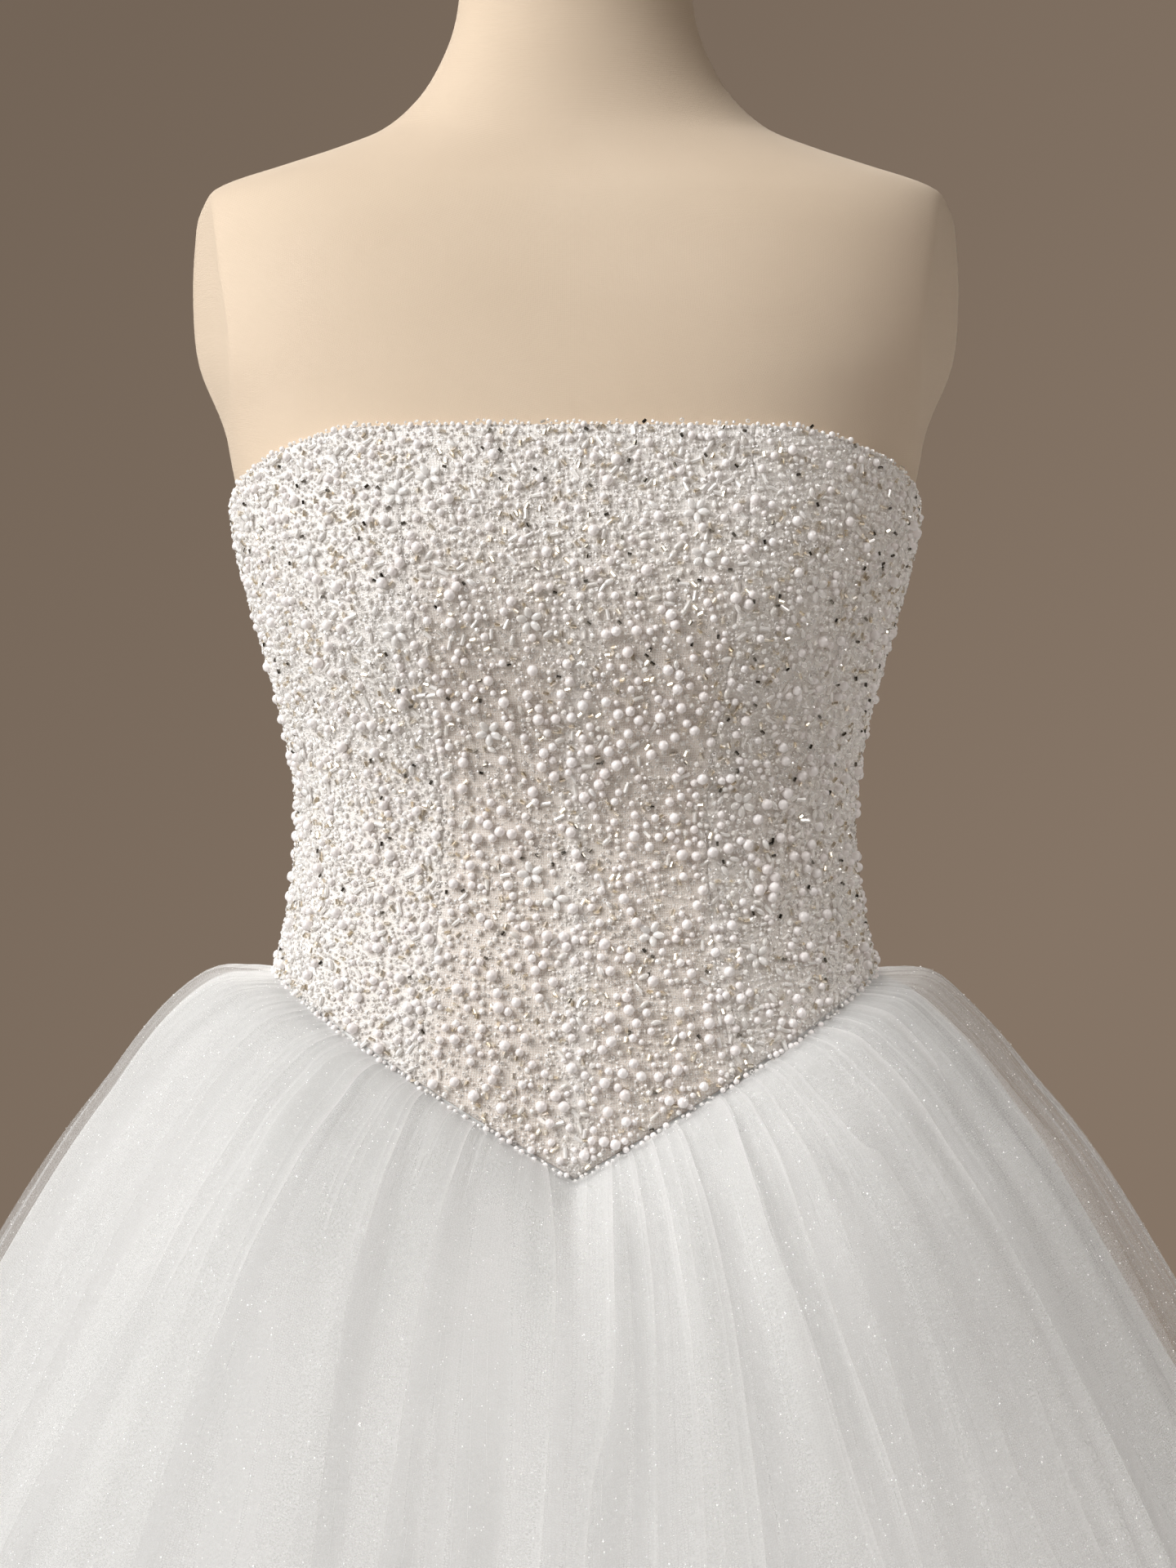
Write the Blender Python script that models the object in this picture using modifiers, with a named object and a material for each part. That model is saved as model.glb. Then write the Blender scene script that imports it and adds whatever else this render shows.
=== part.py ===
"""Strapless ball gown on a limbless dress form.

A boned bodice of seven panels ends in a pointed basque waist. Two gathered skirt layers hang from
that seam: dense layers below and sheer tulle over them. The gown closes with a zip at the centre
back, whose pull tab swings. Metres, +Z up, the front faces -Y, the origin is under the base.
"""

import math
import random
from collections import namedtuple

import bpy
from mathutils import Vector

# Gown heights
NECKLINE_FRONT = 1.251
NECKLINE_SIDE = 1.213
NECKLINE_BACK = 1.197
NECKLINE_CORNER = 0.85  # share of the way round to the front where the neckline turns level
WAIST_POINT = 0.906  # tip of the V
WAIST_RISE = 0.68  # slope of the V's arms at the tip
WAIST_BEND = 0.40  # how fast that slope eases off sideways
WAIST_SIDE = 0.997
WAIST_BACK = 0.980

# Cloth
BODICE_EASE = 0.0016  # from the form to the bodice
BODICE_WALL = 0.0020
SKIRT_WALL = 0.0018
TULLE_WALL = 0.0016
SEAM_GAP = 0.0003
SKIRT_TUCK = 0.0038  # how far the skirt's top edge lies under the bodice's edge
SKIRT_START = 0.0022  # from the form to the skirt's top edge
HEM_HEIGHT = 0.005
HEM_RADIUS = 0.64
FOLDS_PER_QUARTER = 13
FOLD_UNEVEN = 0.30
FOLD_SEED = 11
ROUNDING = 0.01  # degrees, for comparing fold and seam angles

# Panel seams, in degrees from the centre front
PRINCESS_SEAM = 24
SIDE_SEAM = 90
BACK_PRINCESS_SEAM = 138
CENTRE_BACK = 180

# Zip
ZIP_WIDTH = 0.0060
ZIP_THICK = 0.0014
SLIDER_DROP = 0.010  # from the neckline to the slider's middle
SLIDER_SIZE = (0.0058, 0.0014, 0.0110)
SLIDER_LEAN = 0.004  # either way along the back, to find how far its line leans under the slider
POST_SIZE = (0.0012, 0.0036, 0.0030)
POST_SUNK = 0.0004  # of each post, in the slider's body
POST_SPREAD = 0.0023  # from the middle to a post's middle
BAR_OUT = 0.0025  # from the slider's face to the bar's axis
BAR_RADIUS = 0.0007
EYE_INNER = 0.00105
EYE_OUTER = 0.0020
EYE_WIDTH = 0.0026
NECK_REACH = 0.0030  # from the bar's axis down into the tab
TAB_TOP = 0.0024  # from the bar's axis to the tab's wide part, past the posts
TAB_LENGTH = 0.0180
TAB_WIDTH = 0.0050
TAB_THICK = 0.0012

# Stand
BASE_RADIUS = 0.190
BASE_THICK = 0.012
BASE_CHAMFER = 0.003
COLLAR_RADIUS = 0.032
COLLAR_TOP = 0.034
POLE_RADIUS = 0.016
FLANGE_RADIUS = 0.060
FLANGE_THICK = 0.008

# The torso's level sections: half width, depth to the front and to the back, and how square the
# front and back corners are, 2 for an ellipse
Section = namedtuple("Section", "z half_width front back front_square back_square")
TORSO = [
    Section(0.815, 0.1560, 0.0990, 0.1120, 2.3, 2.3),
    Section(0.823, 0.1700, 0.1110, 0.1250, 2.3, 2.3),
    Section(0.870, 0.1740, 0.1160, 0.1300, 2.3, 2.3),
    Section(0.920, 0.1660, 0.1140, 0.1250, 2.3, 2.3),
    Section(0.970, 0.1510, 0.1090, 0.1120, 2.3, 2.3),
    Section(0.997, 0.1420, 0.1050, 0.1040, 2.3, 2.3),
    Section(1.030, 0.1345, 0.0990, 0.0950, 2.3, 2.2),
    Section(1.070, 0.1310, 0.0965, 0.0900, 2.3, 2.2),
    Section(1.110, 0.1360, 0.1030, 0.0920, 2.4, 2.2),
    Section(1.140, 0.1435, 0.1110, 0.0965, 2.5, 2.2),
    Section(1.170, 0.1520, 0.1175, 0.1005, 2.5, 2.3),
    Section(1.200, 0.1600, 0.1175, 0.1040, 2.5, 2.4),
    Section(1.230, 0.1650, 0.1130, 0.1070, 2.5, 2.5),
    Section(1.260, 0.1700, 0.1065, 0.1090, 2.5, 2.6),
    Section(1.290, 0.1800, 0.0990, 0.1080, 2.6, 2.7),
    Section(1.320, 0.1860, 0.0910, 0.1030, 2.7, 2.8),
    Section(1.350, 0.1860, 0.0800, 0.0930, 2.7, 2.7),
    Section(1.366, 0.1830, 0.0720, 0.0840, 2.5, 2.5),
    Section(1.376, 0.1740, 0.0650, 0.0770, 2.3, 2.3),
    Section(1.386, 0.1450, 0.0590, 0.0710, 2.2, 2.2),
    Section(1.395, 0.1180, 0.0550, 0.0670, 2.1, 2.1),
    Section(1.404, 0.0960, 0.0520, 0.0640, 2.0, 2.0),
    Section(1.418, 0.0790, 0.0490, 0.0610, 2.0, 2.0),
    Section(1.434, 0.0680, 0.0470, 0.0590, 2.0, 2.0),
    Section(1.455, 0.0595, 0.0450, 0.0570, 2.0, 2.0),
    Section(1.480, 0.0560, 0.0440, 0.0560, 2.0, 2.0),
    Section(1.498, 0.0555, 0.0440, 0.0560, 2.0, 2.0),
    Section(1.504, 0.0500, 0.0385, 0.0505, 2.0, 2.0),
]
TORSO_COLUMNS = 40
SKIN_STEP = 1.5  # degrees either way, for the skin's direction at a point

Bust = namedtuple("Bust", "x z lift reach_x reach_z")
BUST = Bust(x=0.086, z=1.170, lift=0.0060, reach_x=0.050, reach_z=0.055)

# The skirt's line from waist to hem, as shares of the whole drop and reach: fold is half the depth
# of its folds there, and lift is how far the tulle stands off the layers below
SkirtRow = namedtuple("SkirtRow", "drop reach fold lift")
SKIRT = [
    SkirtRow(0.0000, 0.000, 0.0004, 0.0005),
    SkirtRow(0.0040, 0.025, 0.0009, 0.0014),
    SkirtRow(0.0160, 0.056, 0.0019, 0.0035),
    SkirtRow(0.0515, 0.128, 0.0034, 0.0080),
    SkirtRow(0.1420, 0.250, 0.0056, 0.0130),
    SkirtRow(0.4500, 0.575, 0.0080, 0.0170),
    SkirtRow(1.0000, 1.000, 0.0095, 0.0150),
]
BODICE_BANDS = 13


def signed_power(value, power):
    return math.copysign(abs(value) ** power, value)


def blended(rows, key, at):
    """The table's row at a place between two of its rows, on a smooth curve through all of them."""
    places = [getattr(row, key) for row in rows]
    at = min(max(at, places[0]), places[-1])
    i = max(j for j in range(len(rows) - 1) if places[j] <= at)
    span = places[i + 1] - places[i]
    u = (at - places[i]) / span
    before, after = max(i - 1, 0), min(i + 2, len(rows) - 1)

    def value(start, end, first, last):
        slope_in = (end - first) / (places[i + 1] - places[before]) * span
        slope_out = (last - start) / (places[after] - places[i]) * span
        return (
            start * (2 * u**3 - 3 * u**2 + 1)
            + end * (3 * u**2 - 2 * u**3)
            + slope_in * (u**3 - 2 * u**2 + u)
            + slope_out * (u**3 - u**2)
        )

    columns = zip(rows[i], rows[i + 1], rows[before], rows[after])
    return type(rows[0])(*(value(*column) for column in columns))


def on_form(degrees, z):
    """The point of the form's skin at an angle from the centre front, at a height."""
    section = blended(TORSO, "z", z)
    across, ahead = math.sin(math.radians(degrees)), math.cos(math.radians(degrees))
    in_front = ahead > 0
    depth = section.front if in_front else section.back
    square = section.front_square if in_front else section.back_square
    x = section.half_width * signed_power(across, 2 / square)
    y = -depth * signed_power(ahead, 2 / square)
    if in_front:
        off_x = (abs(x) - BUST.x) / BUST.reach_x
        off_z = (z - BUST.z) / BUST.reach_z
        y -= BUST.lift * math.exp(-(off_x**2) - off_z**2)
    return Vector((x, y, z))


def off_form(degrees, z, out):
    """A point at a level distance off the form's skin."""
    along = on_form(degrees + SKIN_STEP, z) - on_form(degrees - SKIN_STEP, z)
    return on_form(degrees, z) + out * Vector((along.y, -along.x, 0)).normalized()


def neckline(degrees):
    ahead = math.cos(math.radians(degrees))
    if ahead > 0:
        rise = NECKLINE_FRONT - NECKLINE_SIDE
        return NECKLINE_SIDE + rise * min(1, ahead / NECKLINE_CORNER)
    return NECKLINE_SIDE + (NECKLINE_BACK - NECKLINE_SIDE) * ahead**2


def waist_seam(degrees):
    ahead = math.cos(math.radians(degrees))
    if ahead > 0:
        side = on_form(SIDE_SEAM, WAIST_SIDE).x
        x = abs(on_form(degrees, WAIST_SIDE).x)
        run = WAIST_RISE * side - WAIST_BEND * side**2
        share = (WAIST_RISE * x - WAIST_BEND * x**2) / run
        return WAIST_POINT + (WAIST_SIDE - WAIST_POINT) * share
    return WAIST_SIDE + (WAIST_BACK - WAIST_SIDE) * ahead**2


def material(name, colour, roughness, metallic=0.0):
    made = bpy.data.materials.new(name)
    made.use_nodes = True
    shader = made.node_tree.nodes["Principled BSDF"]
    shader.inputs["Base Color"].default_value = (*colour, 1)
    shader.inputs["Roughness"].default_value = roughness
    shader.inputs["Metallic"].default_value = metallic
    made.diffuse_color = (*colour, 1)
    return made


def place(name, mesh, finish, smooth_below=None):
    thing = bpy.data.objects.new(name, mesh)
    thing.data.materials.append(finish)
    gown.objects.link(thing)
    if smooth_below is not None:
        mesh.shade_smooth()
        mesh.set_sharp_from_angle(angle=math.radians(smooth_below))
    return thing


def grid_faces(rows, columns, start=0, closed=False):
    """Triangles between neighbouring points of a grid, with the same diagonal in every cell."""
    last = columns if closed else columns - 1
    faces = []
    for row in range(rows - 1):
        for column in range(last):
            left, right = start + row * columns + column, start + row * columns + (column + 1) % columns
            faces += [(left, right, right + columns), (left, right + columns, left + columns)]
    return faces


def wall(name, outer, inner, finish):
    """Closes two grids of points, rows top to bottom and columns left to right, into one wall."""
    rows, columns = len(outer), len(outer[0])
    count = rows * columns
    points = [point for row in outer + inner for point in row]
    faces = [face[::-1] for face in grid_faces(rows, columns)]
    faces += grid_faces(rows, columns, start=count)
    top = list(range(columns))
    bottom = [count - columns + column for column in range(columns)]
    left = [row * columns for row in range(rows)]
    right = [row * columns + columns - 1 for row in range(rows)]
    for edge in (top, right, bottom[::-1], left[::-1]):
        faces += [(a, b, b + count, a + count) for a, b in zip(edge, edge[1:])]
    mesh = bpy.data.meshes.new(name)
    mesh.from_pydata(points, [], faces)
    return place(name, mesh, finish, smooth_below=50)


def trimmed(row, start, end):
    """A row of points with its two ends drawn in along the row."""
    first = row[0] + (row[1] - row[0]).normalized() * start
    last = row[-1] + (row[-2] - row[-1]).normalized() * end
    return [first, *row[1:-1], last]


def evenly(start, end, count):
    return [start + (end - start) * i / count for i in range(count + 1)]


# ---- Dress form: knit-covered torso, pole and round base ----


def form_torso(finish):
    angles = evenly(-CENTRE_BACK, CENTRE_BACK, TORSO_COLUMNS)[:-1]
    points = [on_form(angle, section.z) for section in TORSO for angle in angles]
    count = len(points)
    faces = grid_faces(len(TORSO), TORSO_COLUMNS, closed=True)
    faces.append(tuple(range(TORSO_COLUMNS))[::-1])
    faces.append(tuple(range(count - TORSO_COLUMNS, count)))
    mesh = bpy.data.meshes.new("form_torso")
    mesh.from_pydata(points, [], faces)
    place("form_torso", mesh, finish, smooth_below=40)


def turned(name, profile, finish, steps):
    """A solid turned round Z, from radii and heights listed top to bottom."""
    mesh = bpy.data.meshes.new(name)
    points = [(radius, 0, z) for radius, z in profile]
    mesh.from_pydata(points, [(i, i + 1) for i in range(len(points) - 1)], [])
    thing = place(name, mesh, finish)
    screw = thing.modifiers.new("turn", "SCREW")
    screw.steps = screw.render_steps = steps
    screw.use_merge_vertices = True
    screw.merge_threshold = 0.0001
    screw.use_smooth_shade = True
    return thing


def form_stand(finish):
    top = TORSO[0].z - SEAM_GAP
    flange_under = top - FLANGE_THICK
    pole_foot = COLLAR_TOP + SEAM_GAP
    pole = [
        (0, top),
        (FLANGE_RADIUS, top),
        (FLANGE_RADIUS, flange_under),
        (POLE_RADIUS, flange_under),
        (POLE_RADIUS, pole_foot),
        (0, pole_foot),
    ]
    base = [
        (0, COLLAR_TOP),
        (COLLAR_RADIUS, COLLAR_TOP),
        (COLLAR_RADIUS, BASE_THICK),
        (BASE_RADIUS - BASE_CHAMFER, BASE_THICK),
        (BASE_RADIUS, BASE_THICK - BASE_CHAMFER),
        (BASE_RADIUS, 0),
        (0, 0),
    ]
    turned("form_pole", pole, finish, steps=24)
    turned("form_base", base, finish, steps=36)


# ---- Bodice: seven boned panels, 0.3 mm apart at their seams ----


def bodice_rows(angles, out, start_trim, end_trim):
    rows = []
    for band in range(BODICE_BANDS + 1):
        share = band / BODICE_BANDS
        row = []
        for angle in angles:
            top, bottom = neckline(angle), waist_seam(angle)
            row.append(off_form(angle, top + (bottom - top) * share, out))
        rows.append(trimmed(row, start_trim, end_trim))
    return rows


def bodice_panel(name, start, end, columns, finish, start_trim=0.0, end_trim=0.0):
    angles = evenly(start, end, columns)
    trims = (start_trim or SEAM_GAP / 2, end_trim or SEAM_GAP / 2)
    outer = bodice_rows(angles, BODICE_EASE + BODICE_WALL, *trims)
    inner = bodice_rows(angles, BODICE_EASE, *trims)
    wall(name, outer, inner, finish)


def bodice(finish):
    opening = ZIP_WIDTH / 2 + SEAM_GAP
    bodice_panel("bodice_front", -PRINCESS_SEAM, PRINCESS_SEAM, 10, finish)
    bodice_panel("bodice_side_front_right", PRINCESS_SEAM, SIDE_SEAM, 9, finish)
    bodice_panel("bodice_side_front_left", -SIDE_SEAM, -PRINCESS_SEAM, 9, finish)
    bodice_panel("bodice_side_back_right", SIDE_SEAM, BACK_PRINCESS_SEAM, 6, finish)
    bodice_panel("bodice_side_back_left", -BACK_PRINCESS_SEAM, -SIDE_SEAM, 6, finish)
    right, left = BACK_PRINCESS_SEAM, -BACK_PRINCESS_SEAM
    bodice_panel("bodice_back_right", right, CENTRE_BACK, 6, finish, end_trim=opening)
    bodice_panel("bodice_back_left", -CENTRE_BACK, left, 6, finish, start_trim=opening)


# ---- Zip: coil strip in the centre back opening, slider, and a pull tab on the slider's bar ----


def zip_strip(finish):
    half = ZIP_WIDTH / 2
    top, bottom = neckline(CENTRE_BACK), waist_seam(CENTRE_BACK)

    def rows(out):
        heights = evenly(top, bottom, BODICE_BANDS)
        middles = [off_form(CENTRE_BACK, z, out) for z in heights]
        return [[middle + Vector((x, 0, 0)) for x in (half, -half)] for middle in middles]

    wall("back_zip", rows(BODICE_EASE + ZIP_THICK), rows(BODICE_EASE), finish)


def box(name, size, centre, finish):
    bpy.ops.mesh.primitive_cube_add(size=1, location=centre)
    made = bpy.context.object
    made.name = made.data.name = name
    made.scale = size
    bpy.ops.object.transform_apply(location=False, rotation=False, scale=True)
    return claimed(made, finish)


def rod(name, radius, length, centre, finish, vertices=16):
    """A round rod along X."""
    bpy.ops.mesh.primitive_cylinder_add(
        vertices=vertices, radius=radius, depth=length, location=centre, rotation=(0, math.pi / 2, 0)
    )
    made = bpy.context.object
    made.name = made.data.name = name
    return claimed(made, finish)


def claimed(thing, finish):
    """Moves a new primitive from the scene's collection to the gown's."""
    for holder in list(thing.users_collection):
        holder.objects.unlink(thing)
    gown.objects.link(thing)
    thing.data.materials.append(finish)
    return thing


def combine(thing, tool, operation):
    """Cuts or joins a tool into a piece, and hides the tool among the cutters."""
    cut = thing.modifiers.new(operation.lower(), "BOOLEAN")
    cut.operation = operation
    cut.object = tool
    cut.solver = "EXACT"
    gown.objects.unlink(tool)
    cutters.objects.link(tool)
    tool.hide_render = True
    tool.display_type = "WIRE"


def zip_slider(finish):
    z = NECKLINE_BACK - SLIDER_DROP
    seat = off_form(CENTRE_BACK, z, BODICE_EASE + ZIP_THICK + SEAM_GAP)
    lean = on_form(CENTRE_BACK, z + SLIDER_LEAN) - on_form(CENTRE_BACK, z - SLIDER_LEAN)
    back_y = seat.y + abs(lean.y)
    width, depth, height = SLIDER_SIZE
    face_y = back_y + depth
    bar = Vector((0, face_y + BAR_OUT, z))
    body = box("zip_slider", SLIDER_SIZE, (0, back_y + depth / 2, z), finish)
    for side, label in ((1, "right"), (-1, "left")):
        centre = (side * POST_SPREAD, face_y + POST_SIZE[1] / 2 - POST_SUNK, z)
        combine(body, box("post_" + label, POST_SIZE, centre, finish), "UNION")
    combine(body, rod("bar", BAR_RADIUS, 2 * POST_SPREAD, bar, finish), "UNION")
    return bar


def zip_pull(bar, finish):
    """The tab hangs from an eye round the slider's bar. Its origin is on the bar's axis."""
    tab = rod("zip_pull", EYE_OUTER, EYE_WIDTH, bar, finish, vertices=20)
    neck_centre = bar - Vector((0, 0, NECK_REACH / 2))
    blade_centre = bar - Vector((0, 0, TAB_TOP + TAB_LENGTH / 2))
    neck = box("neck", (EYE_WIDTH, TAB_THICK, NECK_REACH), neck_centre, finish)
    blade = box("blade", (TAB_WIDTH, TAB_THICK, TAB_LENGTH), blade_centre, finish)
    combine(tab, neck, "UNION")
    combine(tab, blade, "UNION")
    combine(tab, rod("eye", EYE_INNER, 2 * EYE_WIDTH, bar, finish), "DIFFERENCE")


# ---- Skirt: gathered layers from the waist seam to the hem, folds growing all the way down ----


def fold_columns():
    """Angle and height of each column, three to a fold: its trough and the two edges of its crest."""
    dice = random.Random(FOLD_SEED)
    columns = []
    for quarter in range(4):
        sizes = [1 + FOLD_UNEVEN * dice.uniform(-1, 1) for _ in range(FOLDS_PER_QUARTER)]
        start = -CENTRE_BACK + 90 * quarter
        for size in sizes:
            width = 90 * size / sum(sizes)
            crest = size * dice.uniform(0.7, 1.1)
            columns += [
                (start, -1.0),
                (start + width / 3, crest),
                (start + width * 2 / 3, crest * dice.uniform(0.8, 1.1)),
            ]
            start += width
    return columns + [(CENTRE_BACK, -1.0)]


def skirt_point(angle, row, out):
    """The skirt's smooth line at one row of its table, and a distance square off it."""
    top = off_form(angle, waist_seam(angle) - SKIRT_TUCK, SKIRT_START)
    turn = math.radians(angle)
    hem = Vector((math.sin(turn), -math.cos(turn), 0)) * HEM_RADIUS
    outward = Vector((hem.x - top.x, hem.y - top.y, 0))
    fall = top.z - HEM_HEIGHT
    place_now = SKIRT.index(row)
    before, after = SKIRT[max(place_now - 1, 0)], SKIRT[min(place_now + 1, len(SKIRT) - 1)]
    run = (after.reach - before.reach) * outward.length
    sink = (after.drop - before.drop) * fall
    square_off = (outward.normalized() * sink + Vector((0, 0, run))).normalized()
    if row is SKIRT[-1]:
        square_off = outward.normalized()
    point = top + outward * row.reach - Vector((0, 0, fall * row.drop))
    return point + square_off * out


def skirt_panel(name, start, end, tulle, finish):
    """One panel between two seams. The tulle is the layer below moved out by its lift."""
    columns = [
        column for column in fold_columns() if start - ROUNDING <= column[0] <= end + ROUNDING
    ]
    outer, inner = [], []
    for row in SKIRT:
        face = SKIRT_WALL / 2
        back = -SKIRT_WALL / 2
        if tulle:
            back = face + row.lift
            face = back + TULLE_WALL
        for rows, out in ((outer, face), (inner, back)):
            points = [skirt_point(angle, row, out + crest * row.fold) for angle, crest in columns]
            rows.append(trimmed(points, SEAM_GAP / 2, SEAM_GAP / 2))
    wall(name, outer, inner, finish)


def skirt(name, tulle, finish):
    skirt_panel(name + "_front", -SIDE_SEAM, SIDE_SEAM, tulle, finish)
    skirt_panel(name + "_back_right", SIDE_SEAM, CENTRE_BACK, tulle, finish)
    skirt_panel(name + "_back_left", -CENTRE_BACK, -SIDE_SEAM, tulle, finish)


for old in list(bpy.data.objects):
    bpy.data.objects.remove(old, do_unlink=True)

gown = bpy.data.collections.new("ball_gown_on_dress_form")
cutters = bpy.data.collections.new("cutters")
bpy.context.scene.collection.children.link(gown)
bpy.context.scene.collection.children.link(cutters)

knit = material("nude_knit", (0.78, 0.62, 0.46), 0.85)
beading = material("beaded_net", (0.80, 0.76, 0.72), 0.45)
lining = material("ivory_layers", (0.86, 0.85, 0.82), 0.80)
net = material("glitter_tulle", (0.93, 0.93, 0.92), 0.60)
coil = material("ivory_zip", (0.82, 0.78, 0.72), 0.55)
nickel = material("nickel", (0.72, 0.71, 0.69), 0.28, metallic=1.0)
iron = material("painted_iron", (0.75, 0.73, 0.70), 0.45, metallic=0.2)

form_torso(knit)
form_stand(iron)
bodice(beading)
zip_strip(coil)
zip_pull(zip_slider(nickel), nickel)
skirt("underskirt", False, lining)
skirt("tulle", True, net)
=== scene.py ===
"""A strapless ball gown on a limbless dress form, finished piece by piece around its solid model."""

import bisect
import math
import random
from collections import namedtuple
from itertools import accumulate, product

import bpy
from mathutils import Matrix, Vector


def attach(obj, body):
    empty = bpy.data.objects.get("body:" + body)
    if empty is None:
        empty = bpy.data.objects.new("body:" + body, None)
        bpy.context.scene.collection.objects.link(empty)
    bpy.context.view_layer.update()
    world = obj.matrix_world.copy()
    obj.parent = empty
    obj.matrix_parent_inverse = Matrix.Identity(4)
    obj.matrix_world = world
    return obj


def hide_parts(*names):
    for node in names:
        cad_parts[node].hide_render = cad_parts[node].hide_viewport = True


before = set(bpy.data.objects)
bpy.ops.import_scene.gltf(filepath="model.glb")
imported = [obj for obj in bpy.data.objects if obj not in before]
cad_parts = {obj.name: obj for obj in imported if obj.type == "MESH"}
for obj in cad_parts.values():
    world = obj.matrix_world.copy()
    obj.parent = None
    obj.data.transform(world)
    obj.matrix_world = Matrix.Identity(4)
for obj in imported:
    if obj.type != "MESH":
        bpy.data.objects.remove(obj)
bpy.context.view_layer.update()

# ---- Dress form: the torso ----
# A limbless shell with flat arm plates and a plain neck, padded thinly and pulled into a nude
# jersey cover. Level sections give its shape, and the jersey's fine wales run up and down it.

GOWN = "gown_on_form"
Section = namedtuple("Section", "z half_width front back front_square back_square")
TORSO = [Section(*row) for row in (
    (0.815, 0.1560, 0.0990, 0.1120, 2.3, 2.3),
    (0.823, 0.1700, 0.1110, 0.1250, 2.3, 2.3),
    (0.870, 0.1740, 0.1160, 0.1300, 2.3, 2.3),
    (0.920, 0.1660, 0.1140, 0.1250, 2.3, 2.3),
    (0.970, 0.1510, 0.1090, 0.1120, 2.3, 2.3),
    (0.997, 0.1420, 0.1050, 0.1040, 2.3, 2.3),
    (1.030, 0.1345, 0.0990, 0.0950, 2.3, 2.2),
    (1.070, 0.1310, 0.0965, 0.0900, 2.3, 2.2),
    (1.110, 0.1360, 0.1030, 0.0920, 2.4, 2.2),
    (1.140, 0.1435, 0.1110, 0.0965, 2.5, 2.2),
    (1.170, 0.1520, 0.1175, 0.1005, 2.5, 2.3),
    (1.200, 0.1600, 0.1175, 0.1040, 2.5, 2.4),
    (1.230, 0.1650, 0.1130, 0.1070, 2.5, 2.5),
    (1.260, 0.1720, 0.1065, 0.1090, 2.5, 2.6),
    (1.290, 0.1840, 0.0990, 0.1080, 2.6, 2.7),
    (1.320, 0.1870, 0.0910, 0.1030, 2.7, 2.8),
    (1.350, 0.1860, 0.0800, 0.0930, 2.7, 2.7),
    (1.366, 0.1830, 0.0720, 0.0840, 2.5, 2.5),
    (1.376, 0.1740, 0.0650, 0.0770, 2.3, 2.3),
    (1.386, 0.1450, 0.0590, 0.0710, 2.2, 2.2),
    (1.395, 0.1180, 0.0550, 0.0670, 2.1, 2.1),
    (1.404, 0.0960, 0.0520, 0.0640, 2.0, 2.0),
    (1.418, 0.0790, 0.0490, 0.0610, 2.0, 2.0),
    (1.434, 0.0680, 0.0470, 0.0590, 2.0, 2.0),
    (1.455, 0.0595, 0.0450, 0.0570, 2.0, 2.0),
    (1.480, 0.0560, 0.0440, 0.0560, 2.0, 2.0),
    (1.498, 0.0555, 0.0440, 0.0560, 2.0, 2.0),
    (1.504, 0.0500, 0.0385, 0.0505, 2.0, 2.0),
)]
Bust = namedtuple("Bust", "x z lift reach_x reach_z")
BUST = Bust(x=0.086, z=1.170, lift=0.0060, reach_x=0.050, reach_z=0.055)


def blended(rows, places, at):
    """The table's row at a place between two of its rows, on a smooth curve through all of them."""
    at = min(max(at, places[0]), places[-1])
    i = max(j for j in range(len(rows) - 1) if places[j] <= at)
    span = places[i + 1] - places[i]
    u = (at - places[i]) / span
    before, after = max(i - 1, 0), min(i + 2, len(rows) - 1)

    def value(start, end, first, last):
        slope_in = (end - first) / (places[i + 1] - places[before]) * span
        slope_out = (last - start) / (places[after] - places[i]) * span
        return (
            start * (2 * u**3 - 3 * u**2 + 1)
            + end * (3 * u**2 - 2 * u**3)
            + slope_in * (u**3 - 2 * u**2 + u)
            + slope_out * (u**3 - u**2)
        )

    columns = zip(rows[i], rows[i + 1], rows[before], rows[after])
    return type(rows[0])(*(value(*column) for column in columns))


torso_heights = [section.z for section in TORSO]
sections_met = {}


def section_at(z):
    if z not in sections_met:
        sections_met[z] = blended(TORSO, torso_heights, z)
    return sections_met[z]


def on_form(degrees, z):
    """The point of the form's skin at an angle from the centre front, at a height."""
    section = section_at(z)
    across, ahead = math.sin(math.radians(degrees)), math.cos(math.radians(degrees))
    in_front = ahead > 0
    depth = section.front if in_front else section.back
    square = section.front_square if in_front else section.back_square
    x = section.half_width * math.copysign(abs(across) ** (2 / square), across)
    y = -depth * math.copysign(abs(ahead) ** (2 / square), ahead)
    if in_front:
        off_x = (abs(x) - BUST.x) / BUST.reach_x
        off_z = (z - BUST.z) / BUST.reach_z
        y -= BUST.lift * math.exp(-(off_x**2) - off_z**2)
    return Vector((x, y, z))


def off_form(degrees, z, out):
    """A point at a level distance off the form's skin."""
    along = on_form(degrees + 1.5, z) - on_form(degrees - 1.5, z)
    return on_form(degrees, z) - out * Vector((-along.y, along.x, 0)).normalized()


def evenly(start, end, count):
    return [start + (end - start) * i / count for i in range(count + 1)]


def unit(value):
    """A value kept between 0 and 1."""
    return min(max(value, 0), 1)


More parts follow.
